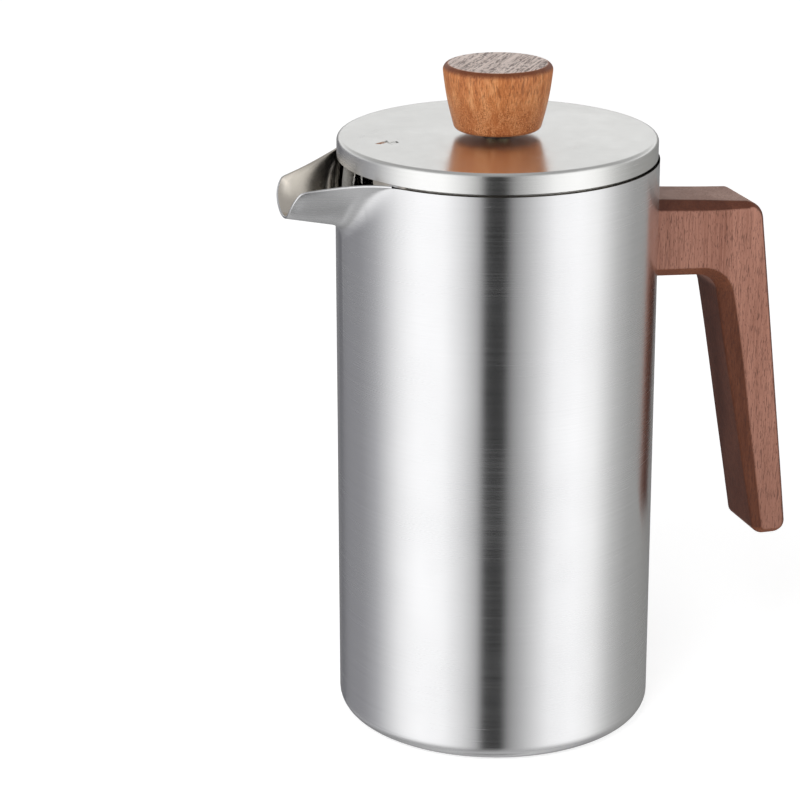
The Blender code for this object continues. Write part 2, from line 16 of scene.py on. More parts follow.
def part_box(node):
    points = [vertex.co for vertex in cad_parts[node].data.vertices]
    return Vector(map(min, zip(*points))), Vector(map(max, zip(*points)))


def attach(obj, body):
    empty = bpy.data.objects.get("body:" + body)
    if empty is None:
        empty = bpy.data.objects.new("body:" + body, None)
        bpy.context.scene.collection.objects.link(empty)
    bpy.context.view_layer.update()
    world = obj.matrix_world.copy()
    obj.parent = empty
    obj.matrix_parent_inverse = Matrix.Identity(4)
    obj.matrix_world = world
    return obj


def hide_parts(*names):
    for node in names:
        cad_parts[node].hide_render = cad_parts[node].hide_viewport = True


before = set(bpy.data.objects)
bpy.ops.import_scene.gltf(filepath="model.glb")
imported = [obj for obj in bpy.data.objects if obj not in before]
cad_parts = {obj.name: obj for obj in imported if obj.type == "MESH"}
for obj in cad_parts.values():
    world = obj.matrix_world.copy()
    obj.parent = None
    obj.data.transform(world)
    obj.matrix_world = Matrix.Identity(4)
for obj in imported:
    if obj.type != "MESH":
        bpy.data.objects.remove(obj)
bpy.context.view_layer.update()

MM = 0.001
GAP = 0.3                       # between neighbouring pieces
SHARP = math.radians(30.0)      # edges bent more than this shade sharp
SHARP_BENT = math.radians(40.0)     # on the shell, the liner and the handle
SHARP_WIRE = math.radians(70.0)


def span(node):
    """Radius, bottom and top of a turned CAD node, in millimetres."""
    low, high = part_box(node)
    return high.y / MM, low.z / MM, high.z / MM


# Vessel
SHELL_R = 54.0
_, _, RIM_Z = span("outer_shell")
WALL_T = 0.9
BASE_CORNER_R = 6.0
BASE_OPENING_R = 40.0
PANEL_H = 1.2                   # raised panel of the base plate
PANEL_INSET = (8.0, 12.0)       # from the plate's edge to the panel's foot and top
BORE_R = 48.0
LINER_T = 0.8
LINER_CORNER_R = 5.0
LINER_ROLL_R = 1.4              # where the liner's rim turns outwards
RIM_FLANGE_R, LINER_LOW_Z, _ = span("inner_liner")

# Spout, pressed out of the shell
SPOUT_HALF_ANGLE = math.radians(38.0)
SPOUT_TIP_X = 74.4
SPOUT_TIP_Z = 182.1
SPOUT_LIP_X = 71.2
SPOUT_LIP_Y = 12.1
SPOUT_LIP_Z = 192.8
SPOUT_CORNER = math.atan2(SPOUT_LIP_Y, SPOUT_LIP_X)
SPOUT_CORNER_SOFT = math.radians(0.55)  # half the angle over which its corner is rounded
SPOUT_FLANK = 19.0              # length of the lip's bend where it runs into the wall
SPOUT_ROOT_Z = 177.6
SPOUT_BLEND = (4.6, 9.0)        # length of the bend at its root, in the middle and at the sides
SPOUT_POWERS = (1.7, 2.3)       # shape of the channel's section at the wall and at the mouth
LEAST_FLARE = 1.0               # the flare's height where it dies out at the rim
MOST_BEND = 0.6                 # largest share of the flare that the bend at its root takes
RISE_POWER = 0.85               # below 1 the rim rises sooner from the spout to its full height
WEIR_DROP = 2.2                 # the liner's rim stays this far under the bend

# Lid
LID_R, BAND_BOTTOM_Z, LID_TOP_Z = span("lid_cover")
LID_T = 1.0
LID_EDGE_R = 1.5
SKIRT_R, SKIRT_BOTTOM_Z, SKIRT_TOP_Z = span("lid_skirt")
SKIRT_T = 1.0
SKIRT_SLOPE = 0.36
SKIRT_CUT_START = 9.0
SLOT_HALF_WIDTH = 5.9
SLOT_TOP_Z = 200.3
SKIRT_FLANGE_R = 40.0
MARK_TIP_R = 42.7
MARK_LENGTH = 8.0
MARK_HEAD = (5.2, 3.3)          # length and half width of the arrow's head
MARK_SHAFT = 1.2                # half width
MARK_DEPTH = 0.35
BAND_FACING = 0.75              # faces that point up or down less than this are the band

# Rod, bushing, nut and knob
ROD_R, ROD_BOTTOM_Z, ROD_TOP_Z = span("plunger_rod")
BUSHING_FLANGE_R, BUSHING_BOTTOM_Z, BUSHING_TOP_Z = span("rod_bushing")
BUSHING_R = 4.3
NUT_FLATS = 13.0
NUT_BEVEL = (0.45, 0.6)         # out from the flats' circle, and along the axis
_, NUT_BOTTOM_Z, NUT_TOP_Z = span("bushing_nut")
_, KNOB_BOTTOM_Z, KNOB_TOP_Z = span("knob")
KNOB_TOP_R = 18.2
KNOB_BASE_R = 14.7
KNOB_EDGE_R = 2.2
KNOB_FOOT_R = 1.7
KNOB_BULGE = 0.45
KNOB_BORE = (3.9, ROD_TOP_Z + 1.2)      # radius and top
THREAD_PITCH = 0.5
THREAD_STEP = 0.3               # the rod's thread is this much smaller than the rod
THREAD_DEPTH = (0.22, 0.2)      # on the rod and on the sleeve's neck

# Filter stack
CROSS_R, PLATE_Z, _ = span("cross_plate")
PLATE_T = 1.0
CONE_FOOT_R = 42.9
CONE_T = 0.9
HUB_R = 14.5
SPOKE_HALF = (6.9, 10.0)        # half width at the hub and at the ring
SPOKE_CORNERS = (3.5, 1.5)      # corner radii of the openings at the ring and at the hub
SPOKE_ANGLES = (-90.0, 30.0, 150.0)
RING_INNER_R = 38.5
MESH_T = 0.5
MESH_PITCH = 0.55               # length of one wave of the weave
MESH_R, MESH_Z, _ = span("mesh_screen")
BINDING_T = 1.1
BINDING_R, BINDING_LOW_Z, BINDING_TOP_Z = span("mesh_binding")
SPRING_PLATE_R, SPRING_PLATE_Z, _ = span("spring_plate")
BOSS_R = (10.4, 7.4)            # foot and top
BOSS_H = 3.5
SPRING_LIP_H = 4.9
SPRING_LIP_T = 0.9
HOLE_RINGS = ((30.5, 6.4, 0.0), (17.8, 2.9, 0.5))   # ring radius, hole radius, shift in holes
HOLES_PER_RING = 10
COIL_OUTER_R, COIL_LOW_Z, COIL_TOP_Z = span("coil_spring")
WIRE_R = 0.35
COIL_TURNS = 130
COIL_STEPS = 14                 # points per turn of the wire
SLEEVE_FLANGE_R, SLEEVE_BOTTOM_Z, SLEEVE_TOP_Z = span("clamp_sleeve")
SLEEVE_R = 4.7
SLEEVE_NECK_R = 3.3

# Handle, in the X-Z plane: corner points and their radii
HANDLE_HALF = 13.0
HANDLE_TOP = ((50.0, 180.1, 0.0), (91.9, 176.2, 6.6), (105.8, 54.0, 4.2))
HANDLE_UNDER = ((94.0, 54.0, 4.0), (76.4, 151.3, 8.7), (50.0, 153.0, 0.0))
# Chamfer widths along that outline: a stop's place counts the corners passed
CHAMFER_STOPS = ((0.0, 3.3), (0.72, 3.2), (0.95, 1.3), (1.1, 1.0), (1.9, 1.0), (2.1, 1.8),
                 (2.6, 2.2), (3.0, 2.4), (3.2, 3.2), (3.4, 3.5), (3.58, 4.2), (3.84, 4.8),
                 (3.93, 4.5), (4.05, 3.6), (4.3, 3.3), (5.0, 3.3))
HANDLE_SOFT = 0.4               # rounding of the chamfers' edges
OUTLINE_STEP = 5.0              # longest stretch between two points of the outline
SCREW_HEIGHTS = (172.6, 160.2)
SOCKET_R = 3.4
SOCKET_SPAN = (50.0, 68.0)      # along X


# -------------------- mesh helpers

def arc(centre_r, centre_z, radius, start, end, steps):
    """Points on an arc in the (r, z) plane, angles in degrees, both ends included."""
    angles = np.radians(np.linspace(start, end, steps + 1))
    return [(centre_r + radius * math.cos(a), centre_z + radius * math.sin(a)) for a in angles]


def rounded(corners, steps=4, closed=True):
    """Replace each corner (x, y, radius) of an outline by an arc."""
    result = []
    count = len(corners)
    for i, (x, y, radius) in enumerate(corners):
        at_end = not closed and i in (0, count - 1)
        if radius == 0 or at_end:
            result.append((x, y))
            continue
        here = Vector((x, y))
        before = (Vector(corners[i - 1][:2]) - here).normalized()
        after = (Vector(corners[(i + 1) % count][:2]) - here).normalized()
        half = before.angle(after) / 2
        centre = here + (before + after).normalized() * (radius / math.sin(half))
        start = here + before * (radius / math.tan(half)) - centre
        end = here + after * (radius / math.tan(half)) - centre
        sweep = math.atan2(start.x * end.y - start.y * end.x, start.dot(end))
        for step in range(steps + 1):
            point = centre + Matrix.Rotation(sweep * step / steps, 2) @ start
            result.append((point.x, point.y))
    return result


def unit(vectors):
    """Rows of vectors, each scaled to length 1."""
    return vectors / np.linalg.norm(vectors, axis=-1, keepdims=True)


def even_angles(count, first=0.0):
    return [first + 2 * math.pi * i / count for i in range(count)]


def circle(x, y, radius, count):
    return [(x + radius * math.cos(a), y + radius * math.sin(a)) for a in even_angles(count)]


def add_object(name, data):
    made = bpy.data.objects.new(name, data)
    bpy.context.scene.collection.objects.link(made)
    return made


def finish_mesh(name, points, faces, materials, sharp=SHARP):
    """A clean, outward-facing, smooth-shaded object from points in millimetres."""
    mesh = bpy.data.meshes.new(name)
    mesh.from_pydata([tuple(MM * c for c in p) for p in points], [], faces)
    bm = bmesh.new()
    bm.from_mesh(mesh)
    bmesh.ops.remove_doubles(bm, verts=bm.verts, dist=1e-6)
    bmesh.ops.recalc_face_normals(bm, faces=bm.faces)
    if bm.calc_volume(signed=True) < 0:
        bmesh.ops.reverse_faces(bm, faces=bm.faces)
    bm.to_mesh(mesh)
    bm.free()
    for material in materials:
        mesh.materials.append(material)
    mesh.shade_smooth()
    mesh.set_sharp_from_angle(angle=sharp)
    return add_object(name, mesh)


def skin(name, columns, materials, closed=True, sharp=SHARP):
    """Surface through a ring of columns of points. A closed column is a loop."""
    grid = np.asarray(columns, float)
    count, rows = grid.shape[:2]
    index = np.arange(count * rows).reshape(count, rows)
    after = np.roll(index, -1, axis=0)
    faces = []
    for j in range(rows if closed else rows - 1):
        k = (j + 1) % rows
        faces += np.column_stack((index[:, j], after[:, j], after[:, k], index[:, k])).tolist()
    return finish_mesh(name, grid.reshape(-1, 3), faces, materials, sharp)


def turned(name, profile, material, count=128, angles=None, sharp=SHARP):
    """Solid of revolution. profile is a list of (r, z), or a function of the angle."""
    angles = angles or even_angles(count)
    columns = []
    for angle in angles:
        points = profile(angle) if callable(profile) else profile
        columns.append([(r * math.cos(angle), r * math.sin(angle), z) for r, z in points])
    first, last = columns[0][0], columns[0][-1]
    on_axis = math.hypot(*first[:2]) < 1e-9 and math.hypot(*last[:2]) < 1e-9
    return skin(name, columns, [material], not on_axis, sharp)


def prism(outline, low, high):
    """Closed block from an outline of (x, y) points, for cutting with."""
    count = len(outline)
    points = [(x, y, low) for x, y in outline] + [(x, y, high) for x, y in outline]
    faces = [list(range(count)), list(range(count, 2 * count))]
    for i in range(count):
        k = (i + 1) % count
        faces.append([i, k, count + k, count + i])
    return finish_mesh("cutter", points, faces, [])


def apply_modifiers(obj):
    """Bake an object's modifiers into its mesh."""
    evaluated = obj.evaluated_get(bpy.context.evaluated_depsgraph_get())
    mesh = bpy.data.meshes.new_from_object(evaluated)
    obj.modifiers.clear()
    obj.data = mesh
    mesh.shade_smooth()
    mesh.set_sharp_from_angle(angle=SHARP)


def cut(obj, cutters, soften=0.0):
    """Subtract cutters from obj, then round the new edges by soften millimetres."""
    for cutter in cutters:
        modifier = obj.modifiers.new("Cut", 'BOOLEAN')
        modifier.operation = 'DIFFERENCE'
        modifier.solver = 'EXACT'
        modifier.object = cutter
    if soften:
        bevel = obj.modifiers.new("Soften", 'BEVEL')
        bevel.width = soften * MM
        bevel.segments = 2
        bevel.limit_method = 'ANGLE'
        bevel.angle_limit = math.radians(50)
    apply_modifiers(obj)
    for cutter in cutters:
        bpy.data.objects.remove(cutter, do_unlink=True)


def keep_flats_flat(obj):
    """Weigh the normals by face area, so that large flat faces shade flat."""
    modifier = obj.modifiers.new("Weighted normals", 'WEIGHTED_NORMAL')
    modifier.keep_sharp = True


def place(obj, node, body):
    """obj stands for a CAD node and moves with its body; the CAD node is hidden."""
    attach(obj, body)
    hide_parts(node)


# -------------------- node helpers

def feed(tree, socket, value):
    """Give a socket a value, or link another socket to it."""
    if isinstance(value, bpy.types.NodeSocket):
        tree.links.new(value, socket)
    elif socket.type == 'RGBA':
        socket.default_value = (*value, 1.0)
    else:
        socket.default_value = value


def node(tree, kind, inputs=(), **settings):
    """Add a shader node. inputs maps a socket to a value or to another socket."""
    made = tree.nodes.new("ShaderNode" + kind)
    for name, value in settings.items():
        setattr(made, name, value)
    for key, value in dict(inputs).items():
        feed(tree, made.inputs[key], value)
    return made


def calc(tree, operation, *values):
    """Output of a Math node."""
    inputs = dict(enumerate(values))
    return node(tree, "Math", inputs, operation=operation).outputs[0]


def times(tree, first, second):
    """Output of a Math node that multiplies."""
    return calc(tree, 'MULTIPLY', first, second)


def split(tree, vector):
    """X, Y and Z outputs of a Separate XYZ node."""
    return node(tree, "SeparateXYZ", {0: vector}).outputs


def facing_parts(tree):
    """X, Y and Z of the direction a surface faces."""
    return split(tree, node(tree, "NewGeometry").outputs["Normal"])


def mix_colours(tree, factor, first, second):
    """Output of a colour Mix node."""
    return node(tree, "Mix", {0: factor, 6: first, 7: second}, data_type='RGBA').outputs[2]


def ramp(tree, factor, stops):
    """Output of a colour ramp. stops are (place, grey) or (place, (r, g, b))."""
    made = node(tree, "ValToRGB", {0: factor})
    band = made.color_ramp
    while len(band.elements) < len(stops):
        band.elements.new(0.5)
    for element, (position, value) in zip(band.elements, stops):
        colour = value if isinstance(value, tuple) else (value,) * 3
        element.position = position
        element.color = (*colour, 1.0)
    return made.outputs[0]


def span_map(tree, value, low, high, to_low=0.0, to_high=1.0, smooth=False):
    """Map a value from one range to another, clamped."""
    kind = 'SMOOTHSTEP' if smooth else 'LINEAR'
    inputs = {0: value, 1: low, 2: high, 3: to_low, 4: to_high}
    return node(tree, "MapRange", inputs, interpolation_type=kind).outputs[0]


def noise(tree, coordinates, stretch, detail=2.0, roughness=0.5, distortion=0.0, shift=0.0):
    """Noise whose features per metre along X, Y and Z are given by stretch."""
    mapping = node(tree, "Mapping", {0: coordinates, 1: (shift,) * 3, 3: stretch})
    inputs = {"Vector": mapping.outputs[0], "Scale": 1.0, "Detail": detail,
              "Roughness": roughness, "Distortion": distortion}
    return node(tree, "TexNoise", inputs).outputs[0]


def new_material(name):
    material = bpy.data.materials.new(name)
    material.use_nodes = True
    tree = material.node_tree
    coordinates = node(tree, "TexCoord").outputs["Object"]
    return material, tree, tree.nodes["Principled BSDF"], coordinates


def bump(tree, height, depth, strength=0.5):
    """Output of a Bump node, depth in millimetres."""
    inputs = {"Strength": strength, "Distance": depth * MM, "Height": height}
    return node(tree, "Bump", inputs).outputs[0]


def connect(tree, shader, **sources):
    """Feed the shader's sockets, each from a value or another socket."""
    for name, source in sources.items():
        feed(tree, shader.inputs[name.replace("_", " ")], source)


# -------------------- materials

def steel(name, colour, roughness, anisotropic=0.0, lines=(60, 60, 2600), depth=0.012, smudge=0.03):
    """Steel with fine finishing lines, as features per metre. depth is in millimetres."""
    material, tree, shader, coordinates = new_material(name)
    fine = noise(tree, coordinates, lines, detail=3.0, roughness=0.65)
    coarse = noise(tree, coordinates, tuple(c * 0.33 for c in lines), shift=3.1)
    cloud = noise(tree, coordinates, (22, 22, 22), detail=3.0, roughness=0.6)
    streak = calc(tree, 'MULTIPLY_ADD', coarse, 0.4, times(tree, fine, 0.6))
    dark = tuple(c * 0.93 for c in colour)
    tint = mix_colours(tree, span_map(tree, streak, 0.3, 0.7), dark, colour)
    clouded = mix_colours(tree, span_map(tree, cloud, 0.35, 0.7, 0.0, 0.1), tint,
                          tuple(c * 0.82 for c in colour))
    rough = calc(tree, 'ADD', span_map(tree, streak, 0.3, 0.7, roughness - 0.04, roughness + 0.04),
                 span_map(tree, cloud, 0.35, 0.7, -smudge, smudge))
    connect(tree, shader, Base_Color=clouded, Roughness=rough, Metallic=1.0,
            Normal=bump(tree, streak, depth, 1.0), Anisotropic=anisotropic,
            Anisotropic_Rotation=0.25)
    if anisotropic:
        tangent = node(tree, "Tangent", direction_type='RADIAL', axis='Z')
        connect(tree, shader, Tangent=tangent.outputs[0])
    return material


def pores(tree, coordinates, stretch, threshold, shift=0.0):
    """Mask of short dark vessels, 1 inside one."""
    grain = noise(tree, coordinates, stretch, detail=1.0, roughness=0.4, shift=shift)
    return span_map(tree, grain, threshold, threshold + 0.06)


def handle_wood():
    """Red-brown open-pored wood, grain along Z, with light painted by facing and height: painted
    shade darker and richer on the chamfers, on the inner face and towards the foot, and a painted
    greyish sheen on the top faces.
    """
    material, tree, shader, coordinates = new_material("handle_wood")
    figure = noise(tree, coordinates, (95, 95, 9), detail=3.0, roughness=0.55, distortion=0.6)
    fibre = noise(tree, coordinates, (2200, 2200, 60), detail=3.0, roughness=0.6)
    tone = calc(tree, 'MULTIPLY_ADD', fibre, 0.45, times(tree, figure, 0.55))
    face = ramp(tree, tone, ((0.3, (0.285, 0.112, 0.073)), (0.47, (0.42, 0.188, 0.13)),
                             (0.62, (0.53, 0.25, 0.178))))
    # Painted shade: below 0.13 m the wood is mixed towards dark brown, darker towards the handle's
    # foot where the light falls off
    height = split(tree, coordinates)[2]
    foot = span_map(tree, height, 0.13, 0.06, 0.0, 0.35, smooth=True)
    face = mix_colours(tree, foot, face, (0.18, 0.068, 0.04))
    # Painted sheen: faces that point up get a greyer, paler copy of the wood that stands for the
    # backdrop's reflection
    top = ramp(tree, tone, ((0.3, (0.25, 0.163, 0.136)), (0.62, (0.41, 0.285, 0.235))))
    # Painted shade: near-black copies of the wood for the chamfers, the downward ones a little
    # warmer and lighter
    painted_shade_dark = ramp(tree, tone, ((0.3, (0.05, 0.011, 0.004)), (0.5, (0.1, 0.024, 0.009)),
                                  (0.65, (0.15, 0.042, 0.017))))
    painted_shade_warm = ramp(tree, tone, ((0.3, (0.135, 0.035, 0.013)), (0.5, (0.25, 0.074, 0.028)),
                                  (0.65, (0.33, 0.108, 0.045))))
    normal = facing_parts(tree)
    across = calc(tree, 'ABSOLUTE', normal[1])
    chamfer = times(tree, span_map(tree, across, 0.1, 0.35, smooth=True),
                    span_map(tree, across, 0.8, 0.97, 1.0, 0.0, smooth=True))
    down = span_map(tree, normal[2], 0.1, -0.6, smooth=True)
    edge = mix_colours(tree, down, painted_shade_dark, painted_shade_warm)
    up = span_map(tree, normal[2], 0.8, 0.98, 0.0, 0.7, smooth=True)
    body = mix_colours(tree, up, face, top)
    # Painted shade: the inner face, which looks at the steel body, is mixed 0.88 towards the
    # darkest painted shade
    inner = span_map(tree, normal[0], -0.8, -0.97, 0.0, 0.88, smooth=True)
    body = mix_colours(tree, inner, body, painted_shade_dark)
    # Painted shade on the chamfers, chosen by which way they face
    body = mix_colours(tree, times(tree, chamfer, 0.92), body, edge)
    long_pores = pores(tree, coordinates, (2600, 2600, 240), 0.61)
    short_pores = pores(tree, coordinates, (3600, 3600, 620), 0.62, shift=2.0)
    pore = calc(tree, 'MAXIMUM', long_pores, short_pores)
    colour = mix_colours(tree, times(tree, pore, 0.6), body, (0.085, 0.03, 0.02))
    relief = calc(tree, 'SUBTRACT', times(tree, fibre, 0.3), pore)
    rough = span_map(tree, tone, 0.3, 0.65, 0.6, 0.48)
    connect(tree, shader, Base_Color=colour, Roughness=rough, Normal=bump(tree, relief, 0.05),
            Specular_IOR_Level=0.32)
    return material


def knob_wood():
    """Orange-brown oiled wood: streaks and specks on the side, rows of pores on top."""
    material, tree, shader, coordinates = new_material("knob_wood")
    figure = noise(tree, coordinates, (170, 170, 40), detail=4.0, roughness=0.65, distortion=0.5)
    fibre = noise(tree, coordinates, (2400, 2400, 130), detail=3.0, roughness=0.6)
    speck = noise(tree, coordinates, (2600, 2600, 2000), roughness=0.6, shift=5.0)
    patch = noise(tree, coordinates, (260, 260, 180), detail=3.0, shift=2.0)
    position = split(tree, coordinates)
    rise = span_map(tree, position[2], (KNOB_BOTTOM_Z + 5) * MM, (KNOB_TOP_Z - 6) * MM, smooth=True)
    tone = calc(tree, 'MULTIPLY_ADD', fibre, 0.4, times(tree, figure, 0.6))
    side = ramp(tree, tone, ((0.34, (0.34, 0.088, 0.024)), (0.48, (0.62, 0.215, 0.068)),
                             (0.62, (0.84, 0.385, 0.16))))
    foot = span_map(tree, rise, 0.0, 0.6, 0.35, 0.0)
    side = mix_colours(tree, foot, side, (0.43, 0.11, 0.03))
    speckled = times(tree, span_map(tree, patch, 0.35, 0.6, 0.35, 1.0),
                     span_map(tree, rise, 0.0, 1.0, 0.75, 0.2))
    dark_speck = times(tree, span_map(tree, speck, 0.54, 0.62), speckled)
    side = mix_colours(tree, dark_speck, side, (0.2, 0.05, 0.014))
    light_speck = times(tree, span_map(tree, speck, 0.44, 0.36), speckled)
    side = mix_colours(tree, light_speck, side, (0.88, 0.44, 0.19))
    streak = times(tree, pores(tree, coordinates, (2600, 2600, 200), 0.58), rise)
    side = mix_colours(tree, times(tree, streak, 0.6), side, (0.23, 0.065, 0.022))
    up = facing_parts(tree)[2]
    shoulder = times(tree, span_map(tree, up, -0.12, 0.75, smooth=True),
                     span_map(tree, up, 0.93, 0.998, 1.0, 0.0, smooth=True))
    body = mix_colours(tree, times(tree, shoulder, 0.88), side, (0.12, 0.03, 0.012))
    top_mask = span_map(tree, up, 0.95, 0.998, smooth=True)
    turn = node(tree, "Mapping", {0: coordinates, 2: (0.0, 0.0, math.radians(38))}).outputs[0]
    dash = noise(tree, turn, (2300, 420, 300), detail=1.0, distortion=0.4, shift=1.0)
    row = noise(tree, turn, (800, 22, 30), detail=1.0, distortion=0.3, shift=4.0)
    mark = times(tree, span_map(tree, dash, 0.47, 0.56), span_map(tree, row, 0.4, 0.52))
    plain = ramp(tree, noise(tree, turn, (1400, 60, 40), detail=3.0),
                 ((0.35, (0.62, 0.5, 0.45)), (0.65, (0.83, 0.7, 0.64))))
    top = mix_colours(tree, times(tree, mark, 0.85), plain, (0.12, 0.076, 0.06))
    colour = mix_colours(tree, top_mask, body, top)
    dents = calc(tree, 'MAXIMUM', times(tree, mark, top_mask), dark_speck)
    height = calc(tree, 'SUBTRACT', times(tree, fibre, 0.3), dents)
    rough = span_map(tree, tone, 0.3, 0.65, 0.52, 0.4)
    connect(tree, shader, Base_Color=colour, Roughness=rough, Normal=bump(tree, height, 0.05),
            Specular_IOR_Level=0.32)
    return material


def woven_steel():
    """Fine plain-weave wire cloth: bright wires with dark holes between them."""
    material, tree, shader, coordinates = new_material("woven_steel")
    position = split(tree, coordinates)
    wires = 2 * math.pi / (MESH_PITCH * MM)
    waves = [calc(tree, 'SINE', times(tree, position[i], wires)) for i in (0, 1)]
    holes = times(tree, *[span_map(tree, w, -0.2, 0.6) for w in waves])
    height = times(tree, waves[0], waves[1])
    cloud = noise(tree, coordinates, (40, 40, 40), detail=3.0)
    wire = ramp(tree, cloud, ((0.35, (0.42, 0.42, 0.41)), (0.65, (0.58, 0.58, 0.57))))
    colour = mix_colours(tree, holes, wire, (0.03, 0.03, 0.03))
    rough = span_map(tree, cloud, 0.3, 0.7, 0.3, 0.42)
    connect(tree, shader, Base_Color=colour, Roughness=rough, Metallic=1.0,
            Normal=bump(tree, height, 0.1, 0.8))
    return material


def make_materials():
    return {
        "shell": steel("shell_steel", (0.8, 0.8, 0.81), 0.25, 0.92, (25, 25, 4200), 0.0015),
        "inside": steel("inner_face_steel", (0.84, 0.78, 0.7), 0.22, lines=(300, 300, 300),
                        depth=0.002),
        "lid_band": steel("lid_band_steel", (0.82, 0.82, 0.81), 0.25, 0.9, (25, 25, 4200), 0.0015),
        "lid_top": steel("lid_top_steel", (0.87, 0.87, 0.85), 0.24, lines=(300, 300, 300),
                         depth=0.002, smudge=0.02),
        "liner": steel("liner_steel", (0.72, 0.7, 0.66), 0.26, 0.6),
        "satin": steel("satin_steel", (0.78, 0.78, 0.77), 0.26, lines=(900, 60, 60), depth=0.004),
        "polished": steel("polished_steel", (0.84, 0.84, 0.84), 0.12, lines=(90, 90, 3000),
                          depth=0.003, smudge=0.02),
        "wire": steel("spring_wire_steel", (0.8, 0.8, 0.8), 0.2, lines=(700, 700, 700),
                      depth=0.004),
        # Near-black steel used as painted shadow: it stands for the contact shade under the knob
        "dark": steel("painted_shadow_steel", (0.2, 0.19, 0.18), 0.34, lines=(90, 90, 3000), depth=0.003),
        "brass": steel("insert_brass", (0.78, 0.58, 0.28), 0.28, lines=(200, 200, 1800)),
        "mesh": woven_steel(),
        "handle": handle_wood(),
        "knob": knob_wood(),
    }


# -------------------- the vessel

def spout_turn(angle):
    """Angle from the spout's middle, 0 at -X, always positive."""
    return abs(math.remainder(angle - math.pi, 2 * math.pi))


def spout_rise(turn):
    """0 at the spout's middle, rising softly to 1 where the flare ends."""
    share = min(1.0, turn / SPOUT_HALF_ANGLE)
    return math.sin(math.pi / 2 * share ** RISE_POWER) ** 2


def lip_curve(steps=200):
    """Plan and height of the spout's upper edge, from its corner to where it joins the rim."""
    start = np.array((SPOUT_LIP_X, SPOUT_LIP_Y))
    end = np.array((math.cos(SPOUT_HALF_ANGLE), math.sin(SPOUT_HALF_ANGLE))) * SHELL_R
    tangent = np.array((math.sin(SPOUT_HALF_ANGLE), -math.cos(SPOUT_HALF_ANGLE)))
    bend = end + tangent * SPOUT_FLANK
    s = np.linspace(0, 1, steps)[:, None]
    x, y = (start * (1 - s) ** 2 + bend * 2 * s * (1 - s) + end * s ** 2).T
    return x, y, SPOUT_LIP_Z + (RIM_Z - SPOUT_LIP_Z) * np.sin(math.pi / 2 * s[:, 0])


def spout_height(x, y):
    """Height of the spout's channel, U-shaped at its mouth and V-shaped at the wall."""
    curve_x, half_widths, tops = (values[::-1] for values in lip_curve())
    half_width = np.interp(x, curve_x, half_widths)
    top = np.interp(x, curve_x, tops)
    slope = (SPOUT_TIP_Z - SPOUT_ROOT_Z) / (SPOUT_TIP_X - SHELL_R)
    floor = SPOUT_ROOT_Z + slope * (x - SHELL_R)
    power = np.interp(x, (SHELL_R, SPOUT_LIP_X), SPOUT_POWERS)
    return floor + (top - floor) * min(1.0, y / half_width) ** power


def sharp_reach(turn):
    """Radius of the shell's top edge, with a sharp corner at the spout's open end."""
    turn = abs(turn)
    if turn >= SPOUT_HALF_ANGLE:
        return SHELL_R
    if turn <= SPOUT_CORNER:
        share = math.tan(turn) / math.tan(SPOUT_CORNER)
        return (SPOUT_TIP_X + (SPOUT_LIP_X - SPOUT_TIP_X) * share ** 6) / math.cos(turn)
    x, y, _ = lip_curve()
    return np.interp(turn, np.arctan2(y, x), np.hypot(x, y))


def spout_reach(turn):
    """Radius of the top edge with its corner rounded off, as a mean over nearby angles."""
    if turn >= SPOUT_HALF_ANGLE:
        return SHELL_R
    offsets = SPOUT_CORNER_SOFT * np.linspace(-1, 1, 9)
    return np.mean([sharp_reach(turn + offset) for offset in offsets])


def flare_point(turn, share, reach):
    """Radius and height on the flare, from the wall at share 0 to the top edge at share 1."""
    r = SHELL_R + (reach - SHELL_R) * share
    if turn >= SPOUT_HALF_ANGLE:
        return Vector((r, RIM_Z - LEAST_FLARE * (1 - share)))
    edge = spout_height(reach * math.cos(turn), reach * math.sin(turn))
    height = spout_height(r * math.cos(turn), r * math.sin(turn))
    return Vector((r, min(height, edge - LEAST_FLARE * (1 - share))))


def vessel_angles():
    """Column angles, closer together in the spout and closest at its corners."""
    soft = 2 * SPOUT_CORNER_SOFT
    half = list(np.linspace(0, SPOUT_CORNER - soft, 15))
    half += list(np.linspace(SPOUT_CORNER - soft, SPOUT_CORNER + soft, 17)[1:])
    half += list(np.linspace(SPOUT_CORNER + soft, SPOUT_HALF_ANGLE, 41)[1:])
    half += list(np.linspace(SPOUT_HALF_ANGLE, math.pi, 64)[1:])
    return [math.pi + t for t in half] + [math.pi - t for t in half[-2:0:-1]]


def shell_column(angle):
    """Outer points of the shell's wall at one angle, from the floor's edge to the top edge."""
    turn = spout_turn(angle)
    reach = spout_reach(turn)
    points = [(BASE_OPENING_R, 0.0), (SHELL_R - BASE_CORNER_R - 1.0, 0.0)]
    points += arc(SHELL_R - BASE_CORNER_R, BASE_CORNER_R, BASE_CORNER_R, -90, 0, 10)
    middle, side = SPOUT_BLEND
    blend = middle + (side - middle) * spout_rise(turn)
    run = flare_point(turn, 1.0, reach) - flare_point(turn, 0.0, reach)
    ratio = blend / run.length
    share = ratio / (1 + (ratio / MOST_BEND) ** 4) ** 0.25
    after = flare_point(turn, share, reach)
    direction = flare_point(turn, share + 0.02, reach) - after
    bend_z = after.y
    if after.x > SHELL_R:
        bend_z -= direction.y / direction.x * (after.x - SHELL_R)
    bend = Vector((SHELL_R, bend_z))
    before = bend - Vector((0.0, blend))
    points += [(SHELL_R, BASE_CORNER_R + (before.y - BASE_CORNER_R) * s) for s in (0.01, 0.3, 0.65)]
    for s in np.linspace(0, 1, 15):
        point = before * (1 - s) ** 2 + bend * 2 * s * (1 - s) + after * s ** 2
        points.append((point.x, point.y))
    top_share = max(share, 1.0 - 0.5 * WALL_T / run.length)
    points += [tuple(flare_point(turn, share + (top_share - share) * s, reach))
               for s in np.linspace(0, 1, 9)[1:]]
    return [(r * math.cos(angle), r * math.sin(angle), z) for r, z in points]


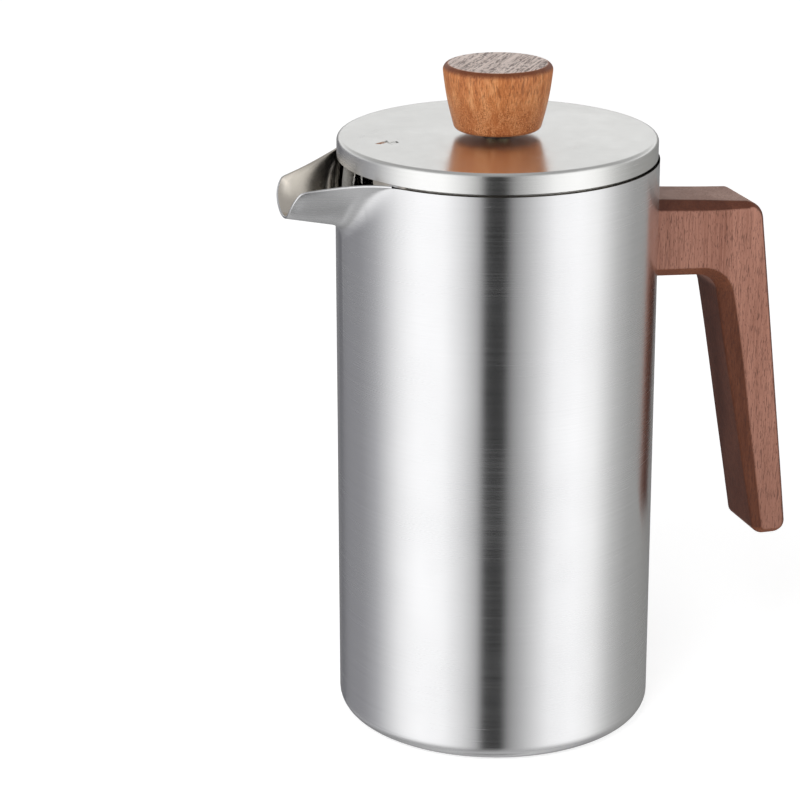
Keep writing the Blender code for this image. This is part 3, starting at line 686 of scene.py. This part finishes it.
def thicken(columns, thickness):
    """Loops from outer columns, thickened inwards, with a round top edge."""
    outer = np.array(columns)
    around = np.roll(outer, -1, axis=0) - np.roll(outer, 1, axis=0)
    up = np.gradient(outer, axis=1)
    normals = unit(np.cross(around, up))
    inner = outer - thickness * normals
    radius = thickness / 2
    edge_normal = normals[:, -1]
    edge_up = unit(up[:, -1])
    middle = outer[:, -1] - radius * edge_normal
    turns = np.radians(np.linspace(0, 180, 7)[1:-1])
    rim = [middle + radius * (math.cos(t) * edge_normal + math.sin(t) * edge_up) for t in turns]
    rim = np.stack(rim, axis=1)
    return np.concatenate((outer, rim, inner[:, ::-1]), axis=1)


def liner_profile(angle):
    """Loop of the liner's wall, floor and rim flange at one angle."""
    turn = spout_turn(angle)
    low = SPOUT_ROOT_Z - WEIR_DROP
    top = low + (RIM_Z - low) * spout_rise(turn) ** 4
    floor_z = LINER_LOW_Z + LINER_T
    centre = (BORE_R - LINER_CORNER_R, floor_z + LINER_CORNER_R)
    inside = arc(*centre, LINER_CORNER_R, -90, 0, 8)
    outside = arc(*centre, LINER_CORNER_R + LINER_T, 0, -90, 8)
    bend = (BORE_R + LINER_ROLL_R, top - LINER_ROLL_R)
    roll = arc(*bend, LINER_ROLL_R, 180, 90, 5)
    under = arc(*bend, LINER_ROLL_R - LINER_T, 90, 180, 5)
    flange = [(RIM_FLANGE_R, top), (RIM_FLANGE_R, top - LINER_T)]
    return [(0, floor_z)] + inside + roll + flange + under + outside + [(0, LINER_LOW_Z)]


def handle_outline():
    """Outline of the handle in the X-Z plane, with points along its straight sides."""
    bends = rounded(HANDLE_TOP + HANDLE_UNDER, steps=12, closed=False)
    points = [Vector(bends[0])]
    for target in bends[1:]:
        start, end = points[-1], Vector(target)
        pieces = max(1, round((end - start).length / OUTLINE_STEP))
        points += [start.lerp(end, (i + 1) / pieces) for i in range(pieces)]
    return points


def chamfer_widths(points):
    """Width of the chamfer at each point of the outline."""
    lengths = [0.0]
    for first, second in zip(points, points[1:]):
        lengths.append(lengths[-1] + (second - first).length)
    passed = []
    for corner in HANDLE_TOP + HANDLE_UNDER:
        here = Vector(corner[:2])
        nearest = min(range(len(points)), key=lambda i: (points[i] - here).length)
        passed.append(lengths[nearest])
    places = np.interp(lengths, passed, range(len(passed)))
    widths = np.interp(places, *zip(*CHAMFER_STOPS))
    kernel = np.hanning(9)[1:-1]
    padded = np.pad(widths, len(kernel) // 2, mode='edge')
    return np.convolve(padded, kernel / kernel.sum(), mode='valid')


def inset_outline(points, distances):
    """Move each point of an outline inwards by its own distance."""
    result = []
    for i, point in enumerate(points):
        before = point - points[max(i - 1, 0)]
        after = points[min(i + 1, len(points) - 1)] - point
        sides = [Vector((v.y, -v.x)).normalized() for v in (before, after) if v.length > 0]
        normal = sum(sides, Vector((0.0, 0.0))).normalized()
        stretch = 1 / max(0.5, normal.dot(sides[0]))
        result.append(point + normal * distances[i] * stretch)
    return result


def chamfer_inset(widths, depth):
    """Inset of the outline at a depth behind the side face, for soft-edged 45-degree chamfers."""
    rest = widths - depth
    bend = 0.5 * (rest + np.sqrt(rest ** 2 + HANDLE_SOFT ** 2))
    fade = np.clip((widths + 2 * HANDLE_SOFT - depth) / HANDLE_SOFT, 0, 1)
    return bend * fade + HANDLE_SOFT * max(0.0, 1 - depth / HANDLE_SOFT) ** 2


def build_handle(material):
    outline = handle_outline()
    widths = chamfer_widths(outline)
    depths = [0.0, 0.08, 0.2, 0.35] + list(np.linspace(0.6, 7.2, 23)) + [10.0]
    layers = [(HANDLE_HALF - d, d) for d in depths]
    layers += [(-y, d) for y, d in reversed(layers)]
    rows = []
    for y, depth in layers:
        wall_x = math.sqrt((SHELL_R + GAP) ** 2 - y * y)
        moved = inset_outline(outline, chamfer_inset(widths, depth))
        for end, following in ((0, 1), (-1, -2)):
            first, second = moved[end], moved[following]
            share = (wall_x - first.x) / (second.x - first.x)
            moved[end] = first.lerp(second, share)
        rows.append([(p.x, y, p.y) for p in moved])
    count, around = len(rows), len(outline)
    points = [p for row in rows for p in row]
    faces = [list(range(around)), [(count - 1) * around + i for i in range(around)]]
    for j in range(count - 1):
        for i in range(around):
            k = (i + 1) % around
            low, high = j * around, (j + 1) * around
            faces.append([low + i, low + k, high + k, high + i])
    handle = finish_mesh("handle_wood_body", points, faces, [material], sharp=SHARP_BENT)
    sockets = []
    for height in SCREW_HEIGHTS:
        socket = prism(circle(0, 0, SOCKET_R, 24), *SOCKET_SPAN)
        lay = Matrix.Translation((0, 0, height * MM)) @ Matrix.Rotation(math.pi / 2, 4, 'Y')
        socket.data.transform(lay)
        sockets.append(socket)
    cut(handle, sockets)
    keep_flats_flat(handle)
    return handle


def build_vessel(m):
    angles = vessel_angles()
    loops = thicken([shell_column(a) for a in angles], WALL_T)
    shell = skin("brushed_shell", loops, [m["shell"], m["inside"]], sharp=SHARP_BENT)
    for face in shell.data.polygons:
        outwards = Vector((face.center.x, face.center.y, 0.0)).normalized()
        if face.normal.dot(outwards) < 0 and face.center.z > SPOUT_ROOT_Z * MM / 2:
            face.material_index = 1
    place(shell, "outer_shell", "vessel")
    liner = turned("inner_pot", liner_profile, m["liner"], angles=angles, sharp=SHARP_BENT)
    place(liner, "inner_liner", "vessel")
    plate_r, _, plate_top = span("base_plate")
    floor = plate_top - PANEL_H
    foot, top = PANEL_INSET
    profile = rounded(((0, 0, 0), (plate_r, 0, 0.6), (plate_r, floor, 0.4),
                       (plate_r - foot, floor, 3), (plate_r - top, plate_top, 3),
                       (0, plate_top, 0)), closed=False)
    place(turned("base_disc", profile, m["satin"]), "base_plate", "vessel")
    place(build_handle(m["handle"]), "handle", "vessel")


# -------------------- the lid

def build_lid(m):
    hole_r = BUSHING_R + GAP
    under = LID_TOP_Z - LID_T
    inner_r = LID_R - LID_T
    corners = ((hole_r, LID_TOP_Z, 0.2), (LID_R - LID_EDGE_R - 0.6, LID_TOP_Z, 0),
               (LID_R, LID_TOP_Z, LID_EDGE_R), (LID_R, BAND_BOTTOM_Z, 0.15),
               (inner_r, BAND_BOTTOM_Z, 0.15), (inner_r, under, 0.8), (hole_r, under, 0.2))
    cover = turned("lid_disc", rounded(corners, steps=8), m["lid_top"], 240)
    head_length, head_half = MARK_HEAD
    neck_x = head_length - MARK_TIP_R
    end_x = MARK_LENGTH - MARK_TIP_R
    half = [(neck_x, head_half), (neck_x, MARK_SHAFT), (end_x, MARK_SHAFT)]
    mark = [(-MARK_TIP_R, 0.0)] + half + [(x, -y) for x, y in reversed(half)]
    cut(cover, [prism(mark, LID_TOP_Z - MARK_DEPTH, LID_TOP_Z + 2)])
    cover.data.materials.append(m["lid_band"])
    for face in cover.data.polygons:
        if abs(face.normal.z) < BAND_FACING:
            face.material_index = 1
    keep_flats_flat(cover)
    place(cover, "lid_cover", "lid")

    skirt = turned("lid_collar", skirt_profile, m["polished"], 200)
    far, near = -SHELL_R, -SKIRT_FLANGE_R
    slot = [(far, -SLOT_HALF_WIDTH), (near, -SLOT_HALF_WIDTH),
            (near, SLOT_HALF_WIDTH), (far, SLOT_HALF_WIDTH)]
    cut(skirt, [prism(slot, 0, SLOT_TOP_Z)])
    place(skirt, "lid_skirt", "lid")


def skirt_profile(angle):
    """Loop of the skirt at one angle, with its slanted lower edge and top flange."""
    reach = -SKIRT_R * math.cos(angle)
    bottom = SKIRT_BOTTOM_Z + SKIRT_SLOPE * max(0.0, reach - SKIRT_CUT_START)
    inner = SKIRT_R - SKIRT_T
    low = SKIRT_TOP_Z - SKIRT_T
    return rounded(((SKIRT_R, SKIRT_TOP_Z, 0.9), (SKIRT_R, bottom, 0.3), (inner, bottom, 0.3),
                    (inner, low, 0.3), (SKIRT_FLANGE_R, low, 0.2),
                    (SKIRT_FLANGE_R, SKIRT_TOP_Z, 0.2)))


def build_bushing(m):
    bore = ROD_R + GAP
    flange = LID_TOP_Z + GAP
    corners = ((bore, BUSHING_BOTTOM_Z, 0.2), (BUSHING_R, BUSHING_BOTTOM_Z, 0.5),
               (BUSHING_R, flange, 0.05), (BUSHING_FLANGE_R, flange, 0.1),
               (BUSHING_FLANGE_R, BUSHING_TOP_Z, 0.3), (bore, BUSHING_TOP_Z, 0.2))
    # The bushing is near-black as painted shadow under the knob
    bushing = turned("guide_bushing", rounded(corners), m["dark"], 96)
    place(bushing, "rod_bushing", "lid_guide")

    def nut_profile(angle):
        side = math.remainder(angle, math.pi / 3)
        radius = NUT_FLATS / 2 / math.cos(side)
        out, along = NUT_BEVEL
        corner = min(radius, NUT_FLATS / 2 + out)
        inner = BUSHING_R + GAP
        return [(inner, NUT_BOTTOM_Z), (corner, NUT_BOTTOM_Z), (radius, NUT_BOTTOM_Z + along),
                (radius, NUT_TOP_Z - along), (corner, NUT_TOP_Z), (inner, NUT_TOP_Z)]

    nut = turned("guide_nut", nut_profile, m["polished"], angles=even_angles(72, math.pi / 6))
    place(nut, "bushing_nut", "lid_guide")


# -------------------- the plunger

def knob_profile():
    """Profile of the knob: an upside-down cone with a slight bulge, soft edges and a bore."""
    bore_r, bore_z = KNOB_BORE
    lean = math.degrees(math.atan2(KNOB_TOP_R - KNOB_BASE_R, KNOB_TOP_Z - KNOB_BOTTOM_Z))
    foot = arc(KNOB_BASE_R - KNOB_FOOT_R, KNOB_BOTTOM_Z + KNOB_FOOT_R, KNOB_FOOT_R, -90, -lean, 10)
    shoulder = arc(KNOB_TOP_R - KNOB_EDGE_R, KNOB_TOP_Z - KNOB_EDGE_R, KNOB_EDGE_R, -lean, 90, 12)
    start, end = Vector(foot[-1]), Vector(shoulder[0])
    side = []
    for share in np.linspace(0, 1, 12)[1:-1]:
        point = start.lerp(end, share)
        side.append((point.x + KNOB_BULGE * math.sin(math.pi * share), point.y))
    top = [(KNOB_TOP_R - KNOB_EDGE_R - 0.6, KNOB_TOP_Z), (0, KNOB_TOP_Z)]
    inside = [(0, bore_z), (bore_r, bore_z), (bore_r, KNOB_BOTTOM_Z), (bore_r + 0.6, KNOB_BOTTOM_Z)]
    return inside + foot + side + shoulder + top


def thread_points(radius, depth, low, high):
    """Zigzag profile that stands for a thread."""
    points = []
    for z in np.arange(low, high, THREAD_PITCH):
        points += [(radius, z), (radius - depth, z + THREAD_PITCH / 2)]
    return points


def build_knob_and_rod(m):
    knob = turned("turned_knob", knob_profile(), m["knob"], 160)
    place(knob, "knob", "plunger")
    thread_r = ROD_R - THREAD_STEP
    thread = thread_points(thread_r, THREAD_DEPTH[0], ROD_BOTTOM_Z + 0.6, SLEEVE_TOP_Z - 0.8)
    profile = [(0, ROD_BOTTOM_Z), (thread_r - 0.4, ROD_BOTTOM_Z)] + thread
    profile += [(thread_r, SLEEVE_TOP_Z - 0.5), (ROD_R, SLEEVE_TOP_Z), (ROD_R, ROD_TOP_Z - 0.5),
                (ROD_R - 0.5, ROD_TOP_Z), (0, ROD_TOP_Z)]
    rod = turned("steel_rod", profile, m["polished"], 48)
    place(rod, "plunger_rod", "plunger")


def spoke_opening(middle):
    """Outline of one opening between two spokes, middle in degrees."""
    hub_half, ring_half = SPOKE_HALF
    ring_corner, hub_corner = SPOKE_CORNERS
    hub_turn = math.radians(60) - math.asin(hub_half / HUB_R)
    ring_turn = math.radians(60) - math.asin(ring_half / RING_INNER_R)
    shift = math.radians(middle)
    corners = [(RING_INNER_R, -ring_turn, ring_corner)]
    corners += [(RING_INNER_R, t, 0) for t in np.linspace(-ring_turn, ring_turn, 33)[4:-4]]
    corners += [(RING_INNER_R, ring_turn, ring_corner), (HUB_R, hub_turn, hub_corner)]
    corners += [(HUB_R, t, 0) for t in np.linspace(hub_turn, -hub_turn, 9)[2:-2]]
    corners += [(HUB_R, -hub_turn, hub_corner)]
    flat = [(r * math.cos(shift + t), r * math.sin(shift + t), e) for r, t, e in corners]
    return rounded(flat, steps=6)


def build_filter(m):
    hub_hole = SLEEVE_R + GAP
    plate_top = PLATE_Z + PLATE_T
    slant = CONE_T / math.sqrt(2)
    cone_top = PLATE_Z + CROSS_R - CONE_FOOT_R
    inner_foot = CONE_FOOT_R + PLATE_T - CONE_T * math.sqrt(2)
    corners = ((hub_hole, PLATE_Z, 0.2), (CONE_FOOT_R, PLATE_Z, 1.6), (CROSS_R, cone_top, 0.25),
               (CROSS_R - slant, cone_top + slant, 0.25), (inner_foot, plate_top, 0.6),
               (hub_hole, plate_top, 0.2))
    cross = turned("three_spoke_plate", rounded(corners), m["satin"], 192)
    cut(cross, [prism(spoke_opening(a + 60), 0, 40) for a in SPOKE_ANGLES], soften=0.15)
    place(cross, "cross_plate", "plunger")

    mesh_foot = inner_foot - (GAP * math.sqrt(2) - GAP)
    mesh_slant = MESH_T / math.sqrt(2)
    mesh_top = MESH_Z + MESH_R - mesh_foot
    mesh_inner = mesh_foot + MESH_T - MESH_T * math.sqrt(2)
    corners = ((hub_hole, MESH_Z, 0), (mesh_foot, MESH_Z, 1.0), (MESH_R, mesh_top, 0),
               (MESH_R - mesh_slant, mesh_top + mesh_slant, 0),
               (mesh_inner, MESH_Z + MESH_T, 0.6), (hub_hole, MESH_Z + MESH_T, 0))
    screen = turned("woven_screen", rounded(corners), m["mesh"], 192)
    place(screen, "mesh_screen", "plunger")
    inner_r = BINDING_R - BINDING_T
    hem = rounded(((inner_r, BINDING_LOW_Z, 0.4), (BINDING_R, BINDING_LOW_Z, 0.4),
                   (BINDING_R, BINDING_TOP_Z, 0.4), (inner_r, BINDING_TOP_Z, 0.4)))
    place(turned("screen_hem", hem, m["satin"], 192), "mesh_binding", "plunger")


def build_spring_plate(m):
    low = SPRING_PLATE_Z
    high = low + PLATE_T
    foot_r, top_r = BOSS_R
    hole_r = SLEEVE_NECK_R + 0.5
    boss_z = high + BOSS_H
    lip_r = SPRING_PLATE_R - SPRING_LIP_T
    lip_z = low + SPRING_LIP_H
    corners = ((hole_r, boss_z, 0.2), (top_r, boss_z, 1.2), (foot_r, high, 1.2),
               (lip_r, high, 0.6), (lip_r, lip_z, 0.2), (SPRING_PLATE_R, lip_z, 0.2),
               (SPRING_PLATE_R, low, 1.0),
               (foot_r - 0.6, low, 0.8), (top_r - 0.8, boss_z - PLATE_T, 0.8),
               (hole_r, boss_z - PLATE_T, 0.2))
    plate = turned("perforated_plate", rounded(corners), m["satin"], 160)
    holes = []
    for ring_r, radius, shift in HOLE_RINGS:
        for i in range(HOLES_PER_RING):
            turn = 2 * math.pi * (i + shift) / HOLES_PER_RING
            x, y = ring_r * math.cos(turn), ring_r * math.sin(turn)
            holes.append(prism(circle(x, y, radius, 32), low - 2, high + 2))
    cut(plate, holes, soften=0.15)
    place(plate, "spring_plate", "plunger")


def build_coil(m):
    """The wound spring: a helix of wire bent into a ring."""
    winding_r = (COIL_TOP_Z - COIL_LOW_Z) / 2 - WIRE_R
    ring_r = COIL_OUTER_R - winding_r - WIRE_R
    middle_z = (COIL_TOP_Z + COIL_LOW_Z) / 2
    steps = COIL_TURNS * COIL_STEPS
    around = 2 * np.pi * np.arange(steps) / steps
    wind = COIL_TURNS * around
    reach = ring_r + winding_r * np.cos(wind)
    line = np.stack((reach * np.cos(around), reach * np.sin(around),
                     middle_z + winding_r * np.sin(wind)), axis=1)
    tangent = unit(np.roll(line, -1, axis=0) - np.roll(line, 1, axis=0))
    outward = np.stack((np.cos(wind) * np.cos(around), np.cos(wind) * np.sin(around),
                        np.sin(wind)), axis=1)
    side = unit(np.cross(tangent, outward))
    loops = [line + WIRE_R * (math.cos(a) * outward + math.sin(a) * side) for a in even_angles(7)]
    coil = skin("wound_spring", np.stack(loops, axis=1), [m["wire"]], sharp=SHARP_WIRE)
    place(coil, "coil_spring", "plunger")


def build_sleeve(m):
    """Threaded sleeve that clamps the stack to the rod from below."""
    bore = ROD_R + GAP
    flange_top = PLATE_Z - GAP
    shoulder = SPRING_PLATE_Z + BOSS_H - GAP
    floor = ROD_BOTTOM_Z - GAP
    root_r = SLEEVE_NECK_R - THREAD_DEPTH[1]
    thread = thread_points(SLEEVE_NECK_R, THREAD_DEPTH[1], shoulder + 0.2, SLEEVE_TOP_Z - 0.5)
    profile = [(0, SLEEVE_BOTTOM_Z), (SLEEVE_FLANGE_R - 0.6, SLEEVE_BOTTOM_Z),
               (SLEEVE_FLANGE_R, SLEEVE_BOTTOM_Z + 0.6), (SLEEVE_FLANGE_R, flange_top),
               (SLEEVE_R, flange_top), (SLEEVE_R, shoulder), (root_r, shoulder)]
    profile += thread + [(root_r - 0.1, SLEEVE_TOP_Z), (bore, SLEEVE_TOP_Z),
                         (bore, floor), (0, floor)]
    sleeve = turned("threaded_sleeve", profile, m["polished"], 64)
    place(sleeve, "clamp_sleeve", "plunger")


# -------------------- the studio

CAMERA_PLACE = (-0.31768, -0.87233, 0.4302)
CAMERA_RIGHT = (0.95077575, -0.3098688, -0.00260769)
CAMERA_UP = (0.10312636, 0.30846647, 0.94562857)
LENS = 129.02
KEY_LIGHT_PLACE = (-0.41, -0.49, 0.76)
KEY_LIGHT_AIM = (0.02, 0.0, 0.14)
KEY_LIGHT_SIZE = 0.5
KEY_LIGHT_WATTS = 2.4
FLOOR_REACH = 30.0              # metres

# Brightness of the surroundings by direction, in degrees to the right of where
# the photographer stands: a dark gap between two large soft boxes. A place has
# one grey or a colour.
SURROUND = (
    (-180, 0.3), (-160, (0.22, 0.22, 0.23)), (-152, (0.14, 0.14, 0.15)),
    (-138, (0.27, 0.27, 0.285)), (-112, (0.31, 0.31, 0.325)), (-96, (0.48, 0.48, 0.495)),
    (-72, 1.12), (-58, 1.32), (-38, 1.3), (-23, 0.92), (-12, 0.52), (-7, 0.03), (6, 0.02),
    (12, 0.34), (24, 0.66), (42, 1.18), (60, 1.3), (76, (1.15, 1.15, 1.14)),
    (95, (0.62, 0.62, 0.61)), (112, (0.4, 0.4, 0.39)), (148, (0.3, 0.3, 0.29)), (165, 0.24),
    (180, 0.3),
)


def build_world():
    world = bpy.data.worlds.new("Studio")
    world.use_nodes = True
    bpy.context.scene.world = world
    tree = world.node_tree
    direction = node(tree, "TexCoord").outputs["Generated"]
    parts = split(tree, direction)
    facing = math.atan2(CAMERA_PLACE[1], CAMERA_PLACE[0])
    c, s = math.cos(facing), math.sin(facing)
    ahead = calc(tree, 'ADD', times(tree, parts[0], c), times(tree, parts[1], s))
    right = calc(tree, 'ADD', times(tree, parts[0], -s), times(tree, parts[1], c))
    turn = span_map(tree, calc(tree, 'ARCTAN2', right, ahead), -math.pi, math.pi)
    stops = [((degrees + 180) / 360, colour) for degrees, colour in SURROUND]
    around = ramp(tree, turn, stops)
    back = span_map(tree, ahead, 0.1, -0.5, smooth=True)
    rise = span_map(tree, parts[2], 0.08, 0.22, smooth=True)
    behind = ramp(tree, parts[2], ((0.0, 1.0), (0.22, 1.08), (0.27, 0.92), (0.4, 0.6),
                                   (0.55, 0.45)))
    colour = mix_colours(tree, times(tree, rise, back), around, behind)
    overhead = span_map(tree, parts[2], 0.5, 0.8, smooth=True)
    colour = mix_colours(tree, overhead, colour, (0.4, 0.4, 0.4))
    lower = ramp(tree, span_map(tree, parts[2], -0.6, -1.0),
                 ((0.0, 0.48), (0.45, 0.3), (0.75, 0.5), (0.92, 0.66), (1.0, 0.12)))
    below = span_map(tree, parts[2], -0.6, -0.8, smooth=True)
    colour = mix_colours(tree, below, colour, lower)
    seen = node(tree, "LightPath").outputs["Is Camera Ray"]
    colour = mix_colours(tree, seen, colour, (1.0, 1.0, 1.0))
    connect(tree, tree.nodes["Background"], Color=colour, Strength=1.0)


def build_floor():
    """Plain pale floor. Glossy and diffuse rays see the studio's soft surround instead."""
    mesh = bpy.data.meshes.new("studio_floor")
    r = FLOOR_REACH
    mesh.from_pydata([(-r, -r, 0), (r, -r, 0), (r, r, 0), (-r, r, 0)], [], [(0, 1, 2, 3)])
    floor = add_object("studio_floor", mesh)
    material, tree, shader, coordinates = new_material("pale_floor")
    soft = noise(tree, coordinates, (3, 3, 3))
    tint = ramp(tree, soft, ((0.3, 0.9), (0.7, 0.92)))
    connect(tree, shader, Base_Color=tint, Roughness=0.9, Specular_IOR_Level=0.0,
            Emission_Color=(1.0, 1.0, 1.0), Emission_Strength=0.52)
    mesh.materials.append(material)
    floor.visible_glossy = False
    floor.visible_diffuse = False
    floor.visible_shadow = False


def build_key_light():
    """Large soft lamp above the photographer's left shoulder, which the steel doesn't mirror."""
    data = bpy.data.lights.new("key_light", 'AREA')
    data.size = KEY_LIGHT_SIZE
    data.energy = KEY_LIGHT_WATTS
    lamp = add_object("key_light", data)
    lamp.location = KEY_LIGHT_PLACE
    aim = Vector(KEY_LIGHT_AIM) - Vector(KEY_LIGHT_PLACE)
    lamp.rotation_euler = aim.to_track_quat('-Z', 'Y').to_euler()
    lamp.visible_glossy = False


def build_camera():
    data = bpy.data.cameras.new("camera")
    data.lens = LENS
    data.sensor_width = 36.0
    camera = add_object("camera", data)
    right, up = Vector(CAMERA_RIGHT), Vector(CAMERA_UP)
    turn = Matrix((right, up, right.cross(up))).transposed().to_4x4()
    camera.matrix_world = Matrix.Translation(CAMERA_PLACE) @ turn
    bpy.context.scene.camera = camera


def dress_hidden_nodes(m):
    """The screws and inserts inside the wood and between the walls keep their CAD shape."""
    screws = ("handle_screw_upper", "handle_screw_lower")
    inserts = ("handle_insert_upper", "handle_insert_lower", "knob_insert")
    for names, look in ((screws, "polished"), (inserts, "brass")):
        for name in names:
            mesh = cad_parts[name].data
            mesh.materials.clear()
            mesh.materials.append(m[look])


def main():
    build_camera()
    build_world()
    build_floor()
    build_key_light()
    bpy.context.scene.view_settings.view_transform = 'Standard'
    m = make_materials()
    for build in (build_vessel, build_lid, build_bushing, build_knob_and_rod, build_filter,
                  build_spring_plate, build_coil, build_sleeve, dress_hidden_nodes):
        build(m)


main()
